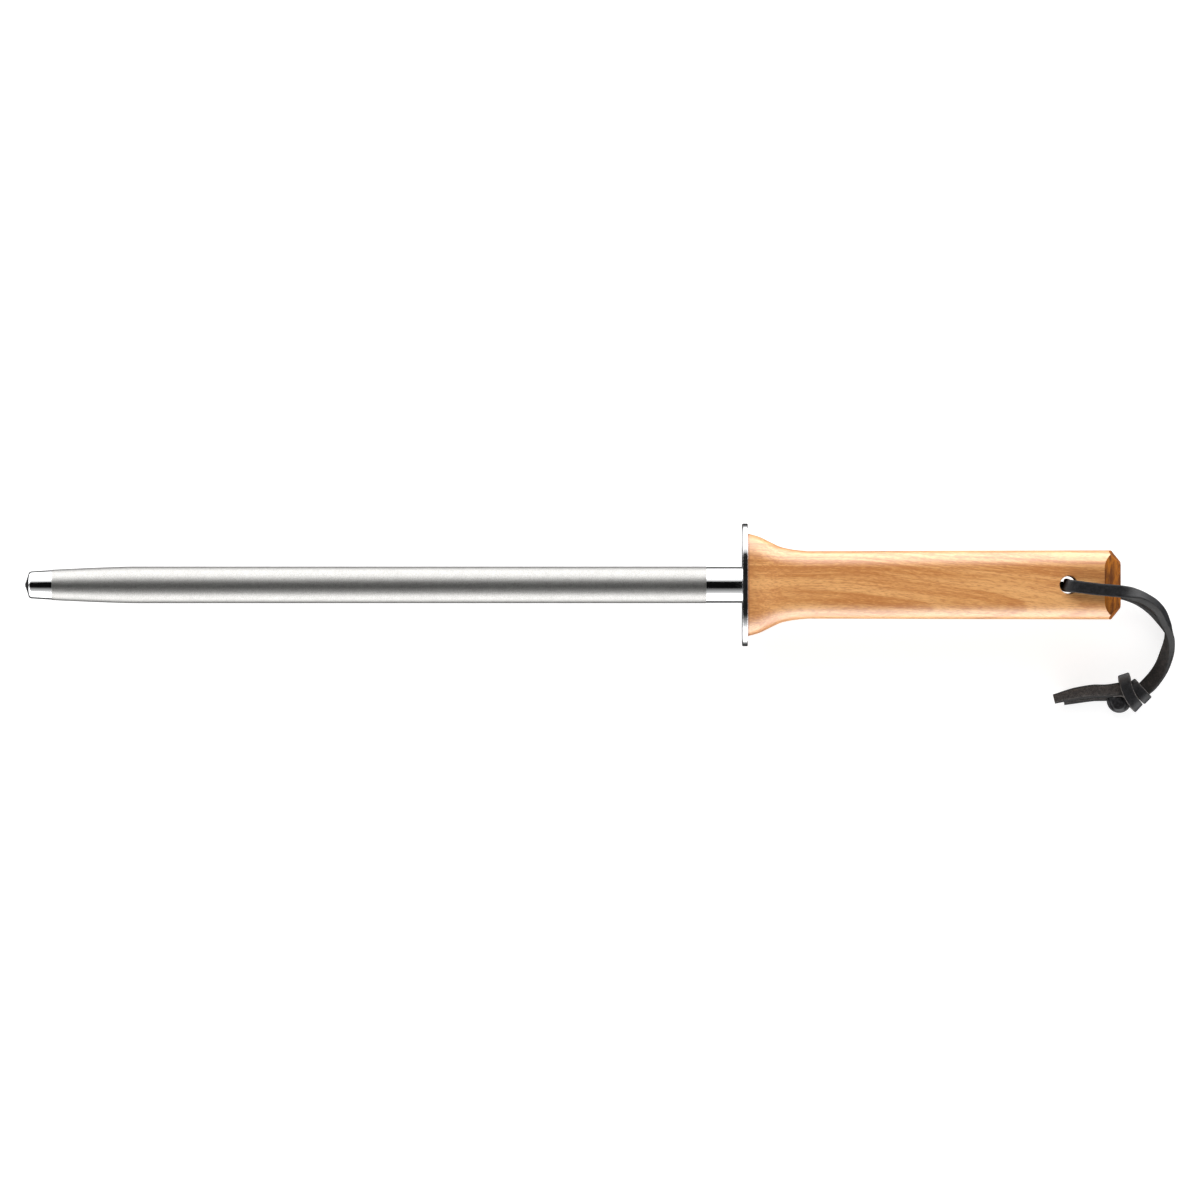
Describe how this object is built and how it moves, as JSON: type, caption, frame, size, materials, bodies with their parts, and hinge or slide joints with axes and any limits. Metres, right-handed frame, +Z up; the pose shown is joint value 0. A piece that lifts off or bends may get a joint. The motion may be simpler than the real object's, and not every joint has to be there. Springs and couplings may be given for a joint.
{
  "type": "knife sharpening steel",
  "caption": "Round tapered steel rod with a diamond coating, a flat guard plate, a beech handle with a chamfered butt, and a leather hanging thong knotted through it.",
  "frame": {"origin": "on the table, below the middle of the length from tip to butt and below the rod's axis", "axes": "+X along the rod's axis from the tip to the butt, +Z up from the table, +Y across the guard's long side"},
  "size_m": [0.3852, 0.0644, 0.033],
  "materials": {
    "polished_steel": "polished, hard chromed steel",
    "diamond_coating": "satin, fine grained diamond grit in nickel",
    "guard_steel": "polished stainless steel",
    "beech": "satin varnished beech",
    "epoxy": "set epoxy adhesive",
    "leather": "black leather lace, matt"
  },
  "bodies": {
    "steel": {"steel_rod": "polished_steel", "diamond_coating": "diamond_coating", "guard_plate": "guard_steel", "tang_adhesive": "epoxy", "handle": "beech"},
    "thong": {"thong_front_strand": "leather", "thong_back_strand": "leather", "thong_knot": "leather", "thong_upper_tail": "leather", "thong_lower_tail": "leather"}
  },
  "joints": [
    {"name": "thong_swing", "type": "hinge", "parent": "steel", "child": "thong", "pos_m": [0.16562, 0, 0.0165], "axis": [0, 0, 1], "range_deg": [-60, 120]}
  ]
}
